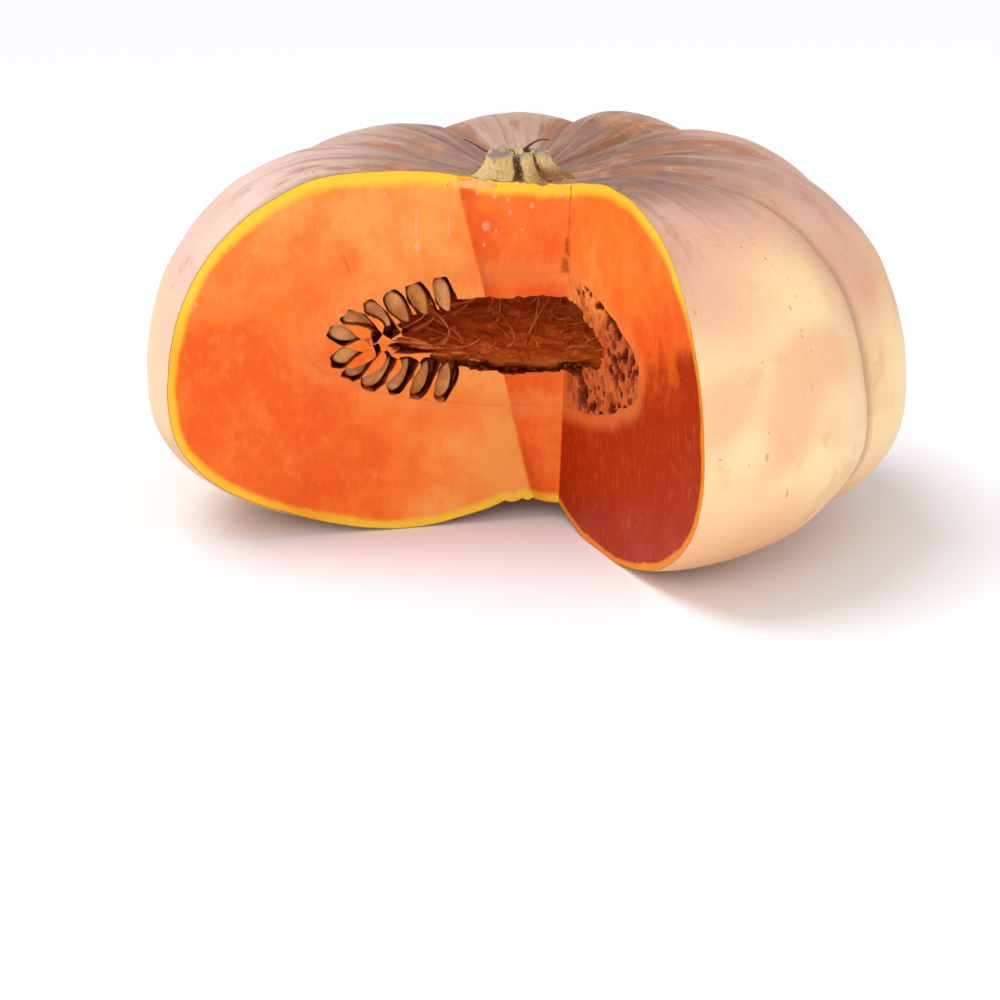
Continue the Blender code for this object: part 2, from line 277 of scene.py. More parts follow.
def carve(item, cutters, slot=1):
    """Cut an object with others, which are used up; the cut faces take the given material slot."""
    for bm in cutters:
        for face in bm.faces:
            face.material_index = slot
        cutter = as_object("cutter", bm, item.data.materials)
        cut = item.modifiers.new("cut", "BOOLEAN")
        cut.operation = "DIFFERENCE"
        cut.solver = "MANIFOLD"
        cut.object = cutter
    view = bpy.context.evaluated_depsgraph_get()
    carved = bpy.data.meshes.new_from_object(item.evaluated_get(view))
    plain = item.data
    used = [cut.object for cut in item.modifiers]
    item.modifiers.clear()
    item.data = carved
    bpy.data.meshes.remove(plain)
    for cutter in used:
        bpy.data.objects.remove(cutter, do_unlink=True)


def smooth_with_creases(item, degrees):
    """Shade smoothly, but keep edges sharp where two surfaces or a steep fold meet."""
    bm = bmesh.new()
    bm.from_mesh(item.data)
    for face in bm.faces:
        face.smooth = True
    for edge in bm.edges:
        if len(edge.link_faces) == 2:
            one, other = edge.link_faces
            folded = edge.calc_face_angle(0) > math.radians(degrees)
            edge.smooth = one.material_index == other.material_index and not folded
    bm.to_mesh(item.data)
    bm.free()


def eased(value, low, high):
    """0 below low, 1 above high, and a smooth step between."""
    share = max(0.0, min(1.0, (value - low) / (high - low)))
    return share * share * (3 - 2 * share)


def tone(red, green, blue):
    """A colour given as it looks, 0 to 255, as the linear light that a shader needs."""
    return Vector([(value / 255) ** 2.2 for value in (red, green, blue)])


def skin_tone(azimuth, fall, place):
    """The skin's broad colour: dusty brown round the stem, pink bloom on the shoulders, and cream
    to peach below, more or less of each from lobe to lobe."""
    dusty = tone(126, 90, 73)
    bloom = tone(206, 160, 140)
    cream = tone(250, 220, 164)
    peach = tone(232, 176, 128)
    ripe = lobe_value(azimuth, 3)
    drift = 0.07 * noise.noise(place * 11) + 0.04 * noise.noise(place * 31)
    level = fall + drift
    frosted = eased(-math.cos(math.radians(azimuth)), 0.2, 0.95)
    hazy = eased(math.sin(math.radians(azimuth)), 0.90, 0.99)
    dusty = dusty.lerp(tone(190, 152, 136), max(0.85 * hazy, 0.35 * frosted))
    bloom = bloom.lerp(tone(230, 197, 182), frosted)
    colour = dusty.lerp(bloom, eased(level, 0.17, 0.40 - 0.06 * frosted))
    pink = bloom.lerp(peach, 0.35 + 0.5 * ripe)
    colour = colour.lerp(pink, eased(level, 0.34, 0.48))
    patch = eased(0.8 * noise.noise(place * 9 + Vector((4, 1, 7))) + ripe, 0.0, 1.1)
    colour = colour.lerp(cream, patch * eased(level, 0.39, 0.52))
    blush = noise.noise(place * 14 + Vector((9, 2, 5))) + 0.6 * noise.noise(place * 37)
    colour = colour.lerp(tone(236, 178, 134), 0.85 * eased(blush, 0.0, 0.5) * eased(level, 0.36, 0.50))
    return colour.lerp(peach, 0.9 * eased(level, 0.56, 0.76))


def flesh_redness_and_shade(place):
    """How far the flesh looks deepened from orange to red-brown, 0 to 1, place by place on the cuts: the flesh's own
    deeper colour, with painted shade on the right and middle cuts.
    """
    drift = 0.10 * noise.noise(place * 16) + 0.05 * noise.noise(place * 45)
    left_corner = corner_at(place.z, left_cut_start, left_out)
    right_corner = corner_at(place.z, right_cut_start, right_out)
    outward = (place - right_cut_start).dot(right_out)
    # Right cut: darker downwards, partly the flesh's own deeper colour and partly painted shadow of the slice in front
    # of it.
    if place.x > right_corner.x + 0.0003:
        return 0.36 + 0.74 * eased(0.134 - place.z + 0.35 * (outward - 0.05), 0.0, 0.075) + drift
    if place.x < left_corner.x - 0.0003:
        along = (place - left_cut_start).dot(left_out)
        low = eased(0.150 - place.z, 0.0, 0.065)
        deeper = 0.36 * low * eased(0.12 - abs(along - 0.085), 0.0, 0.10)
        return 0.03 + 0.20 * eased(along, 0.02, 0.08) + deeper + 1.4 * drift
    # Middle cut: painted shade, darker than the lit left cut, darker still low down under its lean and towards its
    # left corner.
    corner = eased(left_corner.x + 0.012 - place.x, 0.0, 0.012)
    return 0.40 + 0.22 * corner + 0.14 * eased(0.150 - place.z, 0.0, 0.04) + drift


def store(mesh, name, kind, values):
    """Keep one value per point on a mesh, for its shaders."""
    layer = mesh.attributes.new(name, kind, "POINT")
    fields = {"FLOAT": "value", "FLOAT_VECTOR": "vector", "FLOAT_COLOR": "color"}
    flat = values if kind == "FLOAT" else [part for value in values for part in value]
    layer.data.foreach_set(fields[kind], flat)


def fall_at(away):
    """How far down the skin a place lies, 0 at the stem to 1 at the scar, from its place alone."""
    radius = math.hypot(away.x, away.y)
    if away.z < girth_height:
        return 0.55 + 0.30 * (1 - max(away.z, 0) / girth_height)
    if radius < crest_radius:
        return 0.25 * radius / crest_radius
    share = min((radius - crest_radius) / (girth_radius - crest_radius), 1)
    return 0.25 + 0.30 * math.asin(share ** 0.9) * 2 / math.pi


def paint_fruit(item, skin, hollow):
    """Store on every point of the fruit what its shaders need to know about the place."""
    places = [vert.co.copy() for vert in item.data.vertices]
    falls = [fall_at(place - stem_axis) for place in places]
    angles = [math.atan2(place.y - stem_axis.y, place.x - stem_axis.x) for place in places]
    across = [lobe_at(math.degrees(angle))[1] for angle in angles]
    grain = [(math.cos(angle), math.sin(angle), fall) for angle, fall in zip(angles, falls)]
    tones = [(*skin_tone(math.degrees(angle), fall, place), 1.0)
             for angle, fall, place in zip(angles, falls, places)]
    store(item.data, "under_rind", "FLOAT", [skin.find_nearest(place)[3] for place in places])
    store(item.data, "from_hollow", "FLOAT", [hollow.find_nearest(place)[3] for place in places])
    store(item.data, "valley", "FLOAT", [min(share, 1 - share) * 2 for share in across])
    store(item.data, "fall", "FLOAT", falls)
    store(item.data, "redness_and_shade", "FLOAT", [flesh_redness_and_shade(place) for place in places])
    store(item.data, "grain", "FLOAT_VECTOR", grain)
    store(item.data, "skin_tone", "FLOAT_COLOR", tones)


def put(tree, kind, sockets=None, **settings):
    """Add a node to a material; each named socket takes another node's output or a plain value."""
    node = tree.nodes.new(kind)
    for name, value in settings.items():
        setattr(node, name, value)
    for name, value in (sockets or {}).items():
        if isinstance(value, bpy.types.NodeSocket):
            tree.links.new(value, node.inputs[name])
        else:
            node.inputs[name].default_value = value
    return node


def own(tree, name):
    """An attribute stored on the mesh."""
    return put(tree, "ShaderNodeAttribute", attribute_name=name)


def grainy(tree, where, scale, detail=3.0, rough=0.55):
    """Noise between about 0.3 and 0.7, at a scale given in lumps to the metre."""
    sockets = {"Vector": where, "Scale": scale, "Detail": detail, "Roughness": rough}
    return put(tree, "ShaderNodeTexNoise", sockets).outputs["Fac"]


def stretched(tree, where, x, y, z):
    sockets = {0: where, 1: (x, y, z)}
    return put(tree, "ShaderNodeVectorMath", sockets, operation="MULTIPLY").outputs[0]


def between(tree, value, low, high):
    """0 below low, 1 above high; swap them to fall instead of rise."""
    sockets = {"Value": value, "From Min": low, "From Max": high}
    return put(tree, "ShaderNodeMapRange", sockets, interpolation_type="SMOOTHSTEP").outputs[0]


def sum_up(tree, operation, first, second):
    return put(tree, "ShaderNodeMath", {0: first, 1: second}, operation=operation).outputs[0]


def tinted(tree, share, under, over, blend="MIX"):
    """Lay one colour over another by a share."""
    sockets = {0: share, 6: under, 7: over}
    return put(tree, "ShaderNodeMix", sockets, data_type="RGBA", blend_type=blend).outputs[2]


def solid(red, green, blue):
    return (*tone(red, green, blue), 1.0)


def raised(tree, height, strength, distance, normal=None):
    sockets = {"Height": height, "Strength": strength, "Distance": distance}
    if normal is not None:
        sockets["Normal"] = normal
    return put(tree, "ShaderNodeBump", sockets).outputs[0]


def new_material(name):
    material = bpy.data.materials.new(name)
    material.use_nodes = True
    tree = material.node_tree
    where = put(tree, "ShaderNodeTexCoord").outputs["Object"]
    return material, tree, tree.nodes["Principled BSDF"], where


def rind_material():
    """Waxy, dusty skin: streaks that fan out from the stem, rusty blotches, bloom and specks."""
    material, tree, shader, where = new_material("rind")
    grain = own(tree, "grain").outputs["Vector"]
    fall = own(tree, "fall").outputs["Fac"]
    valley = own(tree, "valley").outputs["Fac"]
    colour = own(tree, "skin_tone").outputs["Color"]
    on_top = between(tree, fall, 0.42, 0.20)

    cloud = grainy(tree, where, 22.0, 5.0, 0.6)
    haze = sum_up(tree, "MULTIPLY", between(tree, cloud, 0.42, 0.66), between(tree, fall, 0.50, 0.30))
    colour = tinted(tree, sum_up(tree, "MULTIPLY", haze, 0.30), colour, solid(214, 180, 168))

    fan = grainy(tree, stretched(tree, grain, 14, 14, 3.0), 1.0, 6.0, 0.68)
    dark_fan = sum_up(tree, "MULTIPLY", between(tree, fan, 0.50, 0.68), on_top)
    dark_fan = sum_up(tree, "MULTIPLY", dark_fan, 0.70)
    colour = tinted(tree, dark_fan, colour, solid(112, 76, 60))
    pale_fan = sum_up(tree, "MULTIPLY", between(tree, fan, 0.48, 0.34), on_top)
    pale_fan = sum_up(tree, "MULTIPLY", pale_fan, 0.55)
    colour = tinted(tree, pale_fan, colour, solid(204, 168, 150))

    rust = grainy(tree, stretched(tree, grain, 7, 7, 9.0), 1.0, 7.0, 0.72)
    near_valley = between(tree, valley, 0.75, 0.05)
    rust_room = sum_up(tree, "ADD", rust, sum_up(tree, "MULTIPLY", near_valley, 0.10))
    rust_band = sum_up(tree, "MULTIPLY", between(tree, fall, 0.44, 0.26), 0.75)
    rusty = sum_up(tree, "MULTIPLY", between(tree, rust_room, 0.54, 0.66), rust_band)
    colour = tinted(tree, rusty, colour, solid(160, 98, 64))

    fresh = grainy(tree, where, 34.0, 6.0, 0.7)
    orange = sum_up(tree, "MULTIPLY", between(tree, fresh, 0.54, 0.66), 0.38)
    colour = tinted(tree, orange, colour, solid(224, 152, 98))

    seam = between(tree, valley, 0.10, 0.0)
    seam = sum_up(tree, "MULTIPLY", seam, 0.50)
    colour = tinted(tree, seam, colour, solid(150, 112, 92))

    near_stem = sum_up(tree, "MULTIPLY", between(tree, fall, 0.10, 0.045), 0.7)
    colour = tinted(tree, near_stem, colour, solid(128, 110, 90))

    cells = {"Vector": where, "Scale": 120.0, "Randomness": 1.0}
    speck = put(tree, "ShaderNodeTexVoronoi", cells).outputs["Distance"]
    rare = between(tree, grainy(tree, where, 40.0, 2.0), 0.50, 0.58)
    speck = sum_up(tree, "MULTIPLY", between(tree, speck, 0.10, 0.05), rare)
    colour = tinted(tree, sum_up(tree, "MULTIPLY", speck, 0.45), colour, solid(128, 88, 70))

    ring_cells = {"Vector": where, "Scale": 34.0, "Randomness": 1.0}
    ring = put(tree, "ShaderNodeTexVoronoi", ring_cells).outputs["Distance"]
    ring = put(tree, "ShaderNodeMath", {0: ring, 1: 0.11, 2: 0.018}, operation="COMPARE").outputs[0]
    broken = between(tree, grainy(tree, where, 150.0, 3.0), 0.50, 0.60)
    scarce = between(tree, grainy(tree, where, 26.0, 1.0), 0.56, 0.60)
    ring = sum_up(tree, "MULTIPLY", sum_up(tree, "MULTIPLY", ring, broken), scarce)
    colour = tinted(tree, sum_up(tree, "MULTIPLY", ring, 0.35), colour, solid(176, 128, 96))

    scratch = grainy(tree, stretched(tree, where, 1.0, 1.0, 0.35), 420.0, 2.0)
    scuffed = between(tree, grainy(tree, where, 30.0, 2.0), 0.57, 0.63)
    scratch = sum_up(tree, "MULTIPLY", between(tree, scratch, 0.66, 0.70), scuffed)
    colour = tinted(tree, sum_up(tree, "MULTIPLY", scratch, 0.5), colour, solid(150, 106, 84))

    fine = grainy(tree, where, 700.0, 3.0)
    colour = tinted(tree, between(tree, fine, 0.30, 0.70), colour, (1.06, 1.05, 1.05, 1.0), "MULTIPLY")
    edge = between(tree, own(tree, "under_rind").outputs["Fac"], 0.00002, 0.0006)
    colour = tinted(tree, edge, colour, solid(120, 80, 60))
    tree.links.new(colour, shader.inputs["Base Color"])

    gloss = sum_up(tree, "MULTIPLY_ADD", cloud, 0.25)
    tree.links.new(gloss, shader.inputs["Roughness"])
    tree.nodes[gloss.node.name].inputs[2].default_value = 0.38
    shader.inputs["Specular IOR Level"].default_value = 0.35
    bumps = raised(tree, grainy(tree, where, 260.0, 5.0, 0.6), 0.35, 0.0006)
    bumps = raised(tree, fan, 0.5, 0.0016, bumps)
    tree.links.new(bumps, shader.inputs["Normal"])
    return material


def flesh_material():
    """Wet cut flesh: bright yellow under the skin, orange within, deeper and redder low down, partly as painted shade
    on the right and middle cuts.
    """
    material, tree, shader, where = new_material("flesh")
    depth = own(tree, "under_rind").outputs["Fac"]
    inner = own(tree, "from_hollow").outputs["Fac"]
    redness_and_shade = own(tree, "redness_and_shade").outputs["Fac"]
    mottle = grainy(tree, where, 60.0, 5.0, 0.6)
    fibre = grainy(tree, stretched(tree, where, 1.0, 1.0, 0.35), 420.0, 4.0, 0.65)

    # Redness carries painted shade on the right and middle cuts, so these colours paint that shade in as deeper orange
    # and red-brown.
    red = sum_up(tree, "ADD", redness_and_shade, sum_up(tree, "MULTIPLY", between(tree, mottle, 0.3, 0.7), 0.22))
    red = sum_up(tree, "SUBTRACT", red, 0.11)
    colour = tinted(tree, between(tree, red, 0.0, 0.40), solid(252, 162, 82), solid(248, 122, 46))
    colour = tinted(tree, between(tree, red, 0.36, 0.66), colour, solid(236, 96, 34))
    colour = tinted(tree, between(tree, red, 0.66, 1.02), colour, solid(162, 44, 2))

    pale = sum_up(tree, "MULTIPLY", between(tree, inner, 0.010, 0.002), 0.45)
    colour = tinted(tree, pale, colour, solid(246, 140, 74))

    wavy = sum_up(tree, "MULTIPLY", grainy(tree, where, 45.0, 3.0), 0.004)
    under = sum_up(tree, "SUBTRACT", depth, wavy)
    height = put(tree, "ShaderNodeSeparateXYZ", {0: where}).outputs["Z"]
    wide = sum_up(tree, "ADD", 0.0036, sum_up(tree, "MULTIPLY", between(tree, height, 0.120, 0.165), 0.0020))
    # Where the redness carries painted shade, the yellow band under the skin is painted narrower and darker orange
    # too.
    narrower = between(tree, redness_and_shade, 1.0, 0.35)
    wide = sum_up(tree, "MULTIPLY", wide, sum_up(tree, "ADD", 0.45, sum_up(tree, "MULTIPLY", narrower, 0.55)))
    yellow = between(tree, sum_up(tree, "DIVIDE", under, wide), 1.05, 0.15)
    band = tinted(tree, between(tree, redness_and_shade, 0.34, 0.90), solid(254, 204, 62), solid(228, 132, 14))
    colour = tinted(tree, yellow, colour, band)
    paler = sum_up(tree, "MULTIPLY", between(tree, fibre, 0.52, 0.72), 0.08)
    colour = tinted(tree, paler, colour, solid(255, 206, 150))
    darker = sum_up(tree, "MULTIPLY", between(tree, fibre, 0.46, 0.30), 0.10)
    colour = tinted(tree, darker, colour, solid(206, 84, 30))
    apart = put(tree, "ShaderNodeSeparateXYZ", {0: where})
    slant = sum_up(tree, "MULTIPLY", apart.outputs["X"], 0.932)
    slant = put(tree, "ShaderNodeMath", {0: apart.outputs["Z"], 1: 0.364, 2: slant}, operation="MULTIPLY_ADD")
    off_mark = put(tree, "ShaderNodeMath", {0: slant.outputs[0], 1: -0.02895, 2: 0.0003}, operation="COMPARE")
    mark = sum_up(tree, "MULTIPLY", off_mark.outputs[0], between(tree, height, 0.1225, 0.1300))
    mark = sum_up(tree, "MULTIPLY", mark, between(tree, height, 0.1380, 0.1310))
    colour = tinted(tree, sum_up(tree, "MULTIPLY", mark, 0.6), colour, solid(214, 92, 34))
    line = between(tree, depth, 0.0005, 0.0002)
    colour = tinted(tree, sum_up(tree, "MULTIPLY", line, 0.75), colour, solid(140, 88, 60))
    tree.links.new(colour, shader.inputs["Base Color"])

    wet = between(tree, grainy(tree, where, 30.0, 3.0), 0.35, 0.65)
    rough = put(tree, "ShaderNodeMath", {0: wet, 1: 0.18, 2: 0.36}, operation="MULTIPLY_ADD").outputs[0]
    tree.links.new(rough, shader.inputs["Roughness"])
    shader.inputs["Specular IOR Level"].default_value = 0.12
    shader.inputs["Subsurface Weight"].default_value = 0.12
    shader.inputs["Subsurface Radius"].default_value = (0.006, 0.002, 0.0006)
    shader.inputs["Subsurface Scale"].default_value = 1.0
    bumps = raised(tree, fibre, 0.22, 0.0005)
    bumps = raised(tree, mottle, 0.30, 0.0016, bumps)
    tree.links.new(bumps, shader.inputs["Normal"])
    return material


cavity_radius = 0.108
cavity_half_height = 0.033
cavity_height = 0.091
cavity_rough = 0.05

skin_ball = whole_fruit()
skin_tree = BVHTree.FromBMesh(skin_ball)
hollow_ball = flattened_ball(cavity_radius, cavity_half_height, cavity_height, 200, 90, cavity_rough)
hollow_tree = BVHTree.FromBMesh(hollow_ball)
fruit = as_object("fruit_rind_and_flesh", skin_ball, (rind_material(), flesh_material()))
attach(fruit, "root")
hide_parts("fruit")

# ---------------------------------------------------------------------------------------------
# The stem: the dry, corky stump left when the fruit was picked. Six ridges spread over the skin
# with dark hollows between them, partly painted shade; the broadest, at the front left, was shaved by the knife.

stem_ridges = ((216, 1.95), (284, 1.04), (338, 1.36), (38, 1.12), (100, 1.10), (164, 1.12))
stem_between = 0.80
stem_ridge_spread = 21
stem_foot_height = 0.0085
# Radius and height above the dimple's floor, from the hollow top down to the root's middle.
stem_outline = (
    (0.0000, 0.0088),
    (0.0045, 0.0094),
    (0.0080, 0.0116),
    (0.0102, 0.0122),
    (0.0112, 0.0106),
    (0.0119, 0.0074),
    (0.0132, 0.0042),
    (0.0162, 0.0020),
    (0.0200, 0.0007),
    (0.0204, -0.0006),
    (0.0150, -0.0040),
    (0.0000, -0.0050),
)


def stem_reach(azimuth):
    """How far the stem reaches at an azimuth, as a share of its plain radius."""
    reach = stem_between
    for ridge, height in stem_ridges:
        off = (azimuth - ridge + 180) % 360 - 180
        reach = max(reach, stem_between + (height - stem_between) * math.exp(-((off / stem_ridge_spread) ** 2)))
    return reach


def stem_stump(room=0.0):
    """The stump: its outline spun round the axis, then pulled out into ridges and roughened."""
    bm = bmesh.new()
    edges = []
    previous = None
    for radius, height in stem_outline:
        vert = bm.verts.new((radius + room * bool(radius), 0, height))
        if previous is not None:
            edges.append(bm.edges.new((previous, vert)))
        previous = vert
    bmesh.ops.subdivide_edges(bm, edges=edges, cuts=4)
    bmesh.ops.spin(bm, geom=bm.verts[:] + bm.edges[:], cent=(0, 0, 0), axis=(0, 0, 1),
                   angle=math.tau, steps=200, use_merge=True)
    bmesh.ops.remove_doubles(bm, verts=bm.verts, dist=1e-6)
    ridged = bm.verts.layers.float.new("ridge")
    for vert in bm.verts:
        radius = math.hypot(vert.co.x, vert.co.y)
        angle = math.atan2(vert.co.y, vert.co.x)
        reach = stem_reach(math.degrees(angle))
        share = eased(radius, 0.002, 0.009)
        vert[ridged] = eased(reach, stem_between + 0.02, 1.05)
        foot = eased(stem_foot_height - vert.co.z, 0.0, 0.006)
        buried = eased(vert.co.z, -0.0036, -0.0002)
        flare = 1 + (reach - 1) * share * (0.72 + 0.50 * foot) * buried
        bark = 0.0006 * noise.noise(Vector((9 * math.cos(angle), 9 * math.sin(angle), vert.co.z * 90)))
        radius = radius * flare + bark * share
        height = vert.co.z
        if height > 0.004:
            top = eased(height, 0.004, 0.011)
            height += top * (0.0016 * noise.noise(vert.co * 210) + 0.0009 * noise.noise(vert.co * 520))
            height += top * 0.0022 * (reach - 1)
        vert.co = Vector((radius * math.cos(angle), radius * math.sin(angle), height + dimple_floor))
        vert.co.x -= 0.0022 * eased(height, 0.001, 0.010)
        vert.co += stem_axis
    bmesh.ops.recalc_face_normals(bm, faces=bm.faces)
    return bm


def stem_material():
    """Dry cork: straw-coloured ridges with fine cracks, painted paler as highlight, brown hollows painted darker as
    shade, a weathered grey top.
    """
    material, tree, shader, where = new_material("stem_cork")
    ridge = own(tree, "ridge").outputs["Fac"]
    height = put(tree, "ShaderNodeSeparateXYZ", {0: where}).outputs["Z"]
    fibre = grainy(tree, stretched(tree, where, 1.0, 1.0, 0.3), 520.0, 6.0, 0.7)
    lump = grainy(tree, where, 190.0, 5.0, 0.65)
    # The cork's own straw and brown, with painted light: ridges lifted to a pale straw highlight, hollows between them
    # darkened as painted shade.
    uneven = sum_up(tree, "ADD", ridge, sum_up(tree, "SUBTRACT", lump, 0.5))
    colour = tinted(tree, between(tree, uneven, 0.24, 0.66), solid(74, 42, 20), solid(224, 190, 130))
    colour = tinted(tree, sum_up(tree, "MULTIPLY", between(tree, fibre, 0.50, 0.40), 0.45), colour, solid(140, 98, 56))
    across = put(tree, "ShaderNodeSeparateXYZ", {0: where}).outputs["X"]
    right_side = between(tree, across, -0.004, 0.010)
    low = between(tree, height, dimple_floor + 0.0090, dimple_floor + 0.003)
    low = sum_up(tree, "MULTIPLY", low, sum_up(tree, "ADD", 0.12, sum_up(tree, "MULTIPLY", right_side, 0.80)))
    colour = tinted(tree, low, colour, solid(126, 74, 30))
    fleck = between(tree, grainy(tree, where, 900.0, 2.0), 0.60, 0.68)
    colour = tinted(tree, sum_up(tree, "MULTIPLY", fleck, 0.5), colour, solid(224, 196, 120))
    top = between(tree, height, dimple_floor + 0.0100, dimple_floor + 0.0125)
    grey = sum_up(tree, "MULTIPLY", top, between(tree, lump, 0.42, 0.56))
    colour = tinted(tree, grey, colour, solid(150, 132, 122))
    tree.links.new(colour, shader.inputs["Base Color"])
    shader.inputs["Roughness"].default_value = 0.85
    bumps = raised(tree, fibre, 0.8, 0.0010)
    bumps = raised(tree, lump, 0.6, 0.0012, bumps)
    tree.links.new(bumps, shader.inputs["Normal"])
    return material


def shaved_material():
    """Where the knife took a thin slice off the stem's foot: pale, fresh and moist."""
    material, tree, shader, where = new_material("shaved_stem")
    lump = grainy(tree, where, 260.0, 4.0)
    colour = tinted(tree, between(tree, lump, 0.35, 0.65), solid(246, 158, 82), solid(252, 194, 112))
    tree.links.new(colour, shader.inputs["Base Color"])
    shader.inputs["Roughness"].default_value = 0.45
    return material




def knife_slit():
    """Where the knife ran on past the corner: a thin slot behind the right cut's plane, that gapes
    further down where the corner of the middle face has sagged away."""
    bm = bmesh.new()
    bmesh.ops.create_cube(bm, size=1.0)
    bmesh.ops.subdivide_edges(bm, edges=bm.edges, cuts=30, use_grid_fill=True)
    for vert in bm.verts:
        height = 0.110 + 0.062 * (vert.co.z + 0.5)
        ran_on = 0.011 * (vert.co.y + 0.5) - 0.002
        gape = 0.00045 + 0.0032 * eased(0.150 - height, 0.0, 0.032)
        wander = 0.0003 * noise.noise(Vector((0, 0, height * 260)))
        corner = corner_at(height, right_cut_start, right_out)
        vert.co = corner - right_out * ran_on + right_facing * (gape * (vert.co.x + 0.5) + wander)
    bmesh.ops.recalc_face_normals(bm, faces=bm.faces)
    return bm


stem_seat = stem_stump(0.0002)
carve(fruit, [hollow_ball, stem_seat, knife_sheet(0.0016, knife_wobble), knife_slit()])
paint_fruit(fruit, skin_tree, hollow_tree)
smooth_with_creases(fruit, 32)

stem = as_object("stem_stump", stem_stump(), (stem_material(), shaved_material()))
carve(stem, [knife_sheet(0.0016, knife_wobble)])
smooth_with_creases(stem, 50)
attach(stem, "root")
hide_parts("stem")

# ---------------------------------------------------------------------------------------------
# The seed pulp: the wet, fibrous lining of the hollow. It is cut flush with the flesh, spongy
# and full of holes on the right face, and divided into a cell for every seed along the left one.

void_radius = 0.066
void_half_height = 0.019
void_height = 0.093
void_rough = 0.16
seed_push_back = 0.0042


def behind_cut(place):
    """How far a place lies behind the cut faces."""
    left = -(place - left_cut_start).dot(left_facing)
    right = -(place - right_cut_start).dot(right_facing)
    return max(left, right, place.y - middle_face_y(place.x, place.z), 0)


def spongy(place, facing):
    """The cut through the pulp: torn fibres, with holes where it is loose on the right."""
    torn = knife_wobble(place, facing) - 0.0002 - 0.0004 * abs(noise.noise(place * 300))
    if facing != right_facing:
        return torn
    outward = (place - right_cut_start).dot(right_out)
    loose = eased(0.060 - abs(outward - 0.040) - 0.6 * abs(place.z - 0.091), 0.010, 0.030)
    near = noise.voronoi(place * 195)[0][0]
    room = noise.noise(place * 55 + Vector((3, 8, 1)))
    pit = eased(0.44 + 0.40 * room - near, 0.0, 0.14)
    return torn - (0.0016 * abs(noise.noise(place * 150)) + 0.0080 * pit) * loose


def measured(node):
    """Centre and axes of a packed seed: its length (towards the blunt end), width and thickness."""
    places = np.array([vert.co[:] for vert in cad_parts[node].data.vertices])
    centre = (places.min(axis=0) + places.max(axis=0)) / 2
    spread, axes = np.linalg.eigh(np.cov((places - centre).T))
    length, width = Vector(axes[:, 2]), Vector(axes[:, 1])
    along = (places - centre) @ axes[:, 2]
    across = (places - centre) @ axes[:, 1]
    if float((along * across ** 2).sum()) < 0:
        length = -length
    return Vector(centre), length, width, length.cross(width)


def seed_stand(node, turns):
    """Where a seed of the finished fruit lies: as packed, but pushed back into its cell, up against
    its outer end, and turned to lie flatter in it."""
    centre, length, width, thickness = measured(node)
    behind_left = -(centre - left_cut_start).dot(left_facing)
    behind_right = -(centre - right_cut_start).dot(right_facing)
    if centre.x < stem_axis.x and abs(behind_left) < 0.006:
        facing = left_facing
    elif centre.x > stem_axis.x and abs(behind_right) < 0.006:
        facing = right_facing
    else:
        return centre, length, width, None
    side = length.cross(facing).normalized()
    roll = math.radians(turns.uniform(-24, 24))
    width = side * math.cos(roll) + facing * math.sin(roll)
    shift = turns.uniform(0.0016, 0.0034)
    return centre + length * shift - facing * (seed_push_back + turns.uniform(0, 0.0012)), length, width, facing


seed_turns = random.Random(5)
seed_stands = [seed_stand(f"seed_{number:02d}", seed_turns) for number in range(1, 31)]


def seed_cell(centre, length, facing, turns):
    """The slot in the pulp that a seed stands in, open at the cut."""
    bm = bmesh.new()
    bmesh.ops.create_uvsphere(bm, u_segments=28, v_segments=16, radius=1.0)
    long = turns.uniform(0.0112, 0.0128)
    broad = turns.uniform(0.0047, 0.0063)
    deep = turns.uniform(0.0095, 0.0120)
    frame_axes = Matrix((length, facing.cross(length).normalized(), facing)).transposed()
    for vert in bm.verts:
        unit = vert.co.copy()
        plain = math.hypot(unit.x, unit.y)
        if plain > 0.01:
            boxy = plain / (unit.x ** 4 + unit.y ** 4) ** 0.25
            unit.x *= boxy
            unit.y *= boxy
        swell = 1 + 0.16 * noise.noise(unit * 1.7 + centre * 60)
        taper = 1 - 0.18 * unit.x
        place = Vector((unit.x * long, unit.y * broad * taper, unit.z * deep)) * swell
        vert.co = centre + frame_axes @ place + facing * 0.0015
        vert.co -= length * 0.0008
    return bm


def joined(parts):
    """One bmesh from several."""
    whole = bmesh.new()
    for bm in parts:
        mesh = bpy.data.meshes.new("part")
        bm.to_mesh(mesh)
        bm.free()
        whole.from_mesh(mesh)
        bpy.data.meshes.remove(mesh)
    return whole


